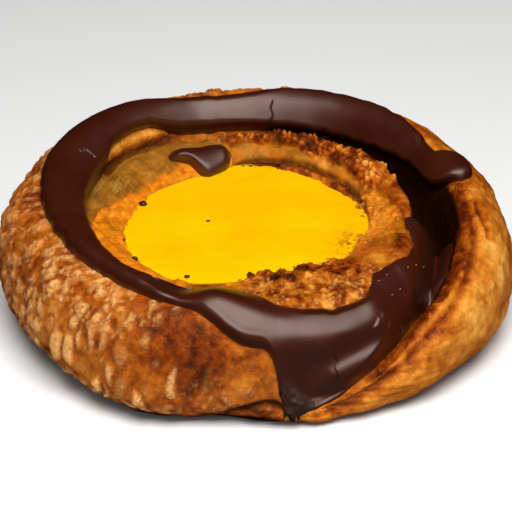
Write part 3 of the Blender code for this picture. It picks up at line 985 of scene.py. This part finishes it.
board_level = blurred(board_dough, 45)
board_top = blurred(np.maximum(board_level + 3.0, board_dough + 1.6), 45)
for line, width in BROAD_TOPS:
    board_top = blurred(with_broad_top(board_top, line, width), 12)
board_top = np.maximum(board_top, board_dough + 1.2)
print("rays dropped on the front of the dough:", board_dough.size)


def read_board(heights, x, up):
    """A height on the board, blended from the four points round it."""
    column = np.clip((x - board_x[0]) / BOARD_STEP, 0, len(board_x) - 1.001)
    row = np.clip((up - board_y[0]) / BOARD_STEP, 0, len(board_y) - 1.001)
    left, low = np.floor(column).astype(int), np.floor(row).astype(int)
    side, rise = column - left, row - low
    lower = between(heights[low, left], heights[low, left + 1], side)
    upper = between(heights[low + 1, left], heights[low + 1, left + 1], side)
    return between(lower, upper, rise)


def on_board(heights, x, up):
    """The point in space over a point of the board, at the height read there."""
    height = read_board(heights, x, up)
    return x[..., None] * np.array([1, 0, 0]) + up[..., None] * board_up + height[..., None] * board_out


# %% Lay a ribbon between two edges
def pour(name, edges, finish, ironed=False):
    """Chocolate lying on the dough between two edges, rounded off at its edges and at both ends."""
    station, outer_edge, inner_edge = np.array(edges, float).T
    first, last = station[0], station[-1]
    bends = [angle_of(point) for line in CRACKS for point in line]
    close_up = [np.arange(bend - 1.5, bend + 1.5, 0.12) + lap for bend in bends for lap in (0, 360)]
    inside = np.unique(np.round(np.concatenate([np.arange(first + 1.5, last - 1.5, 0.48), *close_up]) / 0.12) * 0.12)
    inside = inside[(inside > first + 1) & (inside < last - 1)]
    angles = np.concatenate([first + np.array([0.05, 0.3, 0.6]), inside, last - np.array([0.6, 0.3, 0.05])])
    from_end = np.clip(np.minimum(angles - first, last - angles) / TIP_SPAN, 0, 1)
    rounding = np.sqrt(1 - (1 - from_end) ** 2)[:, None]
    outer = curve_through(station, outer_edge, angles)[:, None]
    inner = curve_through(station, inner_edge, angles)[:, None]
    across = 0.5 - 0.5 * np.cos(np.linspace(0, np.pi, 57))
    ragged = 0.05 * swell(np.stack([angles / 4, 0 * angles, 0 * angles], axis=-1), 104)[:, None]
    middle = between(outer, inner, 0.5)
    along = between(middle, between(outer + ragged, inner - ragged, across), rounding)
    around = np.broadcast_to(angles[:, None], along.shape)
    lower = read(dough_grid, around, along) - SINK * read(dough_out, around, along)
    top = read(chocolate_top, around, along)
    out = read(flowed_out, around, along)
    if ironed:
        on_front = (smooth(around, 234, 250) * (1 - smooth(around, 316, 340)))[..., None]
        edges_there = read(dough_grid, around[:, [0, -1]], along[:, [0, -1]])
        share = across[None, :]
        x = between(edges_there[:, :1, 0], edges_there[:, 1:, 0], share)
        up = between(edges_there[:, :1] @ board_up, edges_there[:, 1:] @ board_up, share)
        lower = between(lower, on_board(board_dough, x, up) - SINK * board_out, on_front)
        top = between(top, on_board(board_top, x, up), on_front)
        out = between(out, board_out, on_front)
    steps = np.linalg.norm(np.diff(top, axis=1), axis=-1)
    from_outer = np.concatenate([0 * steps[:, :1], np.cumsum(steps, axis=1)], axis=1)
    from_inner = from_outer[:, -1:] - from_outer
    film = smooth(around, 322, 346)
    thin_side = 1 + 1.6 * bell_of(around, 333, 32)
    rims = rolled_edge(from_outer, RIM * thin_side) * rolled_edge(from_inner, RIM)
    crown = rounding * rims * (1 - 0.62 * film)
    foot = np.interp(along, (2.5, 5), (FOOT_THICKNESS, 1))
    crown = crown * (between(foot, 1, on_front[..., 0]) if ironed else foot)
    # Cracks: a thin dent here, which the finish darkens with painted shade.
    broken = np.exp(-((np.minimum.reduce([off_chocolate_line(top, out, line) for line in CRACKS]) / 0.15) ** 2))
    bead = 0.08 * bell_of(from_outer, 1.3, 1.0) - 0.08 * bell_of(from_outer, 2.8, 1.2)
    height = chocolate_relief(top, out, around, along) + bell_of(around, 262, 22) * bead
    upper = between(lower, top, crown[..., None]) + (height * crown)[..., None] * out
    if ironed:
        upper = relax(upper, 0.6 * on_front[..., 0], 6)
        level = on_board(board_top, upper[..., 0], upper @ board_up) + height[..., None] * board_out
        upper = between(upper, level, on_front * smooth(crown, 0.95, 1.0)[..., None])
        upper = clear_of_dough(upper, np.where(crown > 0.6, 1.2, 0) * bell_of(around, 320, 70))
    else:
        upper = relax(upper, 0.9 * np.clip(crown, 0, 1), 24)
    upper = upper - (0.35 * broken * crown)[..., None] * out
    loops = np.concatenate([upper[:, ::-1], lower[:, 1:-1:3]], axis=1)
    marks = {}
    for mark, values in (("broken", broken), ("crumbly", near_foot(around, along))):
        marks[mark] = np.concatenate([values[:, ::-1], 0 * values[:, 1:-1:3]], axis=1)
    tips = [read(dough_grid, station[i], between(outer_edge[i], inner_edge[i], 0.5)) for i in (0, -1)]
    loops[..., 2] = np.maximum(loops[..., 2], 0)
    return close_skin(name, loops, *tips, finish, marks)


ribbon = pour("chocolate_ribbon", RIBBON_EDGES, dark_chocolate, ironed=True)
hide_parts("chocolate")
drip = pour("inner_drip", DRIP_EDGES, dark_chocolate)
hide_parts("chocolate_drip")
for piece in (ribbon, drip):
    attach(piece, "root")

# %% [markdown]
# ## Custard
# Baked custard sets as a soft shallow dome and meets the dough at one level. Its surface here runs on a little
# way into the bumpy dough, so that the dough itself draws the uneven shore line, as it does in the oven.

# %% Mix the custard's finish
custard_finish = Finish("custard_finish")
patches = custard_finish.noise(16, 3, 0.5)
brushed = custard_finish.noise(5, 3, 0.5, (1.6, 1, 1))
yolk = custard_finish.ramp(patches, [(0.35, (0.82, 0.42, 0.0003)), (0.65, (0.88, 0.49, 0.0006))])
yolk = custard_finish.blend(custard_finish.spread(brushed, 0.5, 0.8, 0, 0.25), yolk, (0.90, 0.44, 0.001))
peppered = custard_finish.maths("MULTIPLY", custard_finish.mark("toasted"), custard_finish.spread(custard_finish.noise(0.9, 4, 0.7), 0.47, 0.6))
yolk = custard_finish.blend(peppered, yolk, (0.30, 0.06, 0.003))
set_skin = custard_finish.bump(brushed, 0.1, 0.2)
custard_cream = custard_finish.set(Base_Color=yolk, Roughness=0.38, Normal=set_skin)
custard_finish.shader.inputs["Specular IOR Level"].default_value = 0.2
custard_finish.shader.inputs["Specular Tint"].default_value = (1.0, 0.7, 0.1, 1)
custard_finish.shader.inputs["Subsurface Weight"].default_value = 0.15
custard_finish.shader.inputs["Subsurface Radius"].default_value = (1.0, 0.6, 0.1)
custard_finish.shader.inputs["Subsurface Scale"].default_value = 0.002

# %% Fill the bowl
angles = np.arange(0, 360, 1.0)
shore = np.linalg.norm(read(dough_grid, angles, 10.0)[:, :2] - COIL_CENTRE, axis=-1)
parts = np.concatenate([np.linspace(1, 0.9, 12), np.linspace(0.89, 0.02, 70)])
turns = np.radians(angles)
heading = np.stack([np.cos(turns), np.sin(turns), 0 * turns], axis=-1)
centre = np.array([*COIL_CENTRE, 0])
reach = shore + 2.0
levels = CUSTARD_LEVEL + 0.25 + CUSTARD_CROWN * np.sqrt(np.clip(1 - parts**2, 0, 1))
top_loops = centre + parts[:, None, None] * reach[:, None] * heading + levels[:, None, None] * np.array([0, 0, 1])
top_loops[..., 2] += 0.12 * rough(top_loops / (9, 7, 9), 121, 2)
under_loops = [centre + (reach - shift)[:, None] * heading + (0, 0, level) for shift, level in ((3.2, 17), (0.6, 19.8))]
custard_loops = np.concatenate([under_loops, top_loops])
toast_spot = np.array([21.5, -11.4, CUSTARD_LEVEL])
toasted = np.exp(-np.sum(((custard_loops - toast_spot) / (3.6, 7.0, 9)) ** 2, axis=-1))
custard = close_skin(
    "custard_pool",
    custard_loops,
    (*COIL_CENTRE, 17),
    (*COIL_CENTRE, CUSTARD_LEVEL + 0.25 + CUSTARD_CROWN),
    custard_cream,
    {"toasted": toasted},
)
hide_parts("custard")
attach(custard, "root")

# %% [markdown]
# ## Specks
# A few dark specks baked onto the custard and the dough beside it, and some pale crumbs fell on the pour. Each
# kind is one mesh of small dented balls, because loose crumbs are real things that lie where they fell.

# %% Scatter the specks
BALL_TURNS, BALL_RISES = 10, 7


def speckle(name, specks, finish, seed):
    """One mesh of dented balls. Each speck is across, up, height and radius, in millimetres."""
    turns = np.linspace(0, 2 * np.pi, BALL_TURNS, endpoint=False)
    rises = np.linspace(-np.pi / 2, np.pi / 2, BALL_RISES)
    turns, rises = np.meshgrid(turns, rises)
    ball = np.stack([np.cos(turns) * np.cos(rises), np.sin(turns) * np.cos(rises), np.sin(rises)], axis=-1)
    points, faces = [], []
    for number, (x, y, z, radius) in enumerate(specks):
        dented = ball * (1 + 0.3 * swell(1.7 * ball + 10.0 * number + 3, seed)[..., None])
        first = len(points)
        points += ((dented * (1.2, 1, 0.8) * radius + (x, y, z)) * MM).reshape(-1, 3).tolist()
        for row in range(BALL_RISES - 1):
            for column in range(BALL_TURNS):
                beside = (column + 1) % BALL_TURNS
                low, high = first + row * BALL_TURNS, first + (row + 1) * BALL_TURNS
                faces.append((low + column, low + beside, high + beside, high + column))
    data = bpy.data.meshes.new(name)
    data.from_pydata(points, [], faces)
    data.shade_smooth()
    data.materials.append(finish)
    piece = bpy.data.objects.new(name, data)
    bpy.context.scene.collection.objects.link(piece)
    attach(piece, "root")
    print(name, "has", len(specks), "specks")
    return piece


burnt = Finish("burnt_speck_finish")
burnt.set(Base_Color=(0.035, 0.007, 0.001, 1), Roughness=0.35)
pale = Finish("pale_crumb_finish")
pale.set(Base_Color=(0.36, 0.26, 0.2, 1), Roughness=0.6)
BURNT_SPECKS = [
    (-11.3, -1.2, 21.4, 0.5),
    (-26.9, 7.1, 21.3, 0.85),
    (-15.6, -24.7, 21.1, 0.55),
    (-27.6, -18.4, 21.95, 0.6),
    (-30.6, -9.2, 21.32, 0.35),
]


def on_chocolate(x, y):
    """The height of the chocolate's top under a point."""
    hit = ribbon_tree.ray_cast(Vector((x, y, 90)), Vector((0, 0, -1)))
    return hit[0][2] if hit[0] is not None else CUSTARD_LEVEL


ribbon_points = [tuple(vertex.co / MM) for vertex in ribbon.data.vertices]
ribbon_tree = BVHTree.FromPolygons(ribbon_points, [tuple(polygon.vertices) for polygon in ribbon.data.polygons])
PALE_SPOTS = [(29, -29), (32, -30), (34, -24), (38, -19), (30, -33), (36, -21.5), (27, -31.5)]
pale_specks = [(x, y, on_chocolate(x, y) + 0.03, 0.14) for x, y in PALE_SPOTS]
burnt_specks = speckle("burnt_specks", BURNT_SPECKS, burnt.material, 131)
pale_crumbs = speckle("pale_crumbs", pale_specks, pale.material, 132)

# %% [markdown]
# ## Floor
# The pastry stands on a plain pale table top: one flat square just under it, which takes a soft contact shadow.

# %% Lay the floor
floor_finish = Finish("pale_floor")
floor_finish.set(Base_Color=(0.86, 0.86, 0.85, 1), Roughness=0.6)
corners = [(-3, -3, 0), (3, -3, 0), (3, 3, 0), (-3, 3, 0)]
floor_mesh = bpy.data.meshes.new("floor")
floor_mesh.from_pydata([(x, y, z - 0.0002) for x, y, z in corners], [], [(0, 1, 2, 3)])
floor_mesh.materials.append(floor_finish.material)
floor = bpy.data.objects.new("floor", floor_mesh)
bpy.context.scene.collection.objects.link(floor)
floor.visible_glossy = False
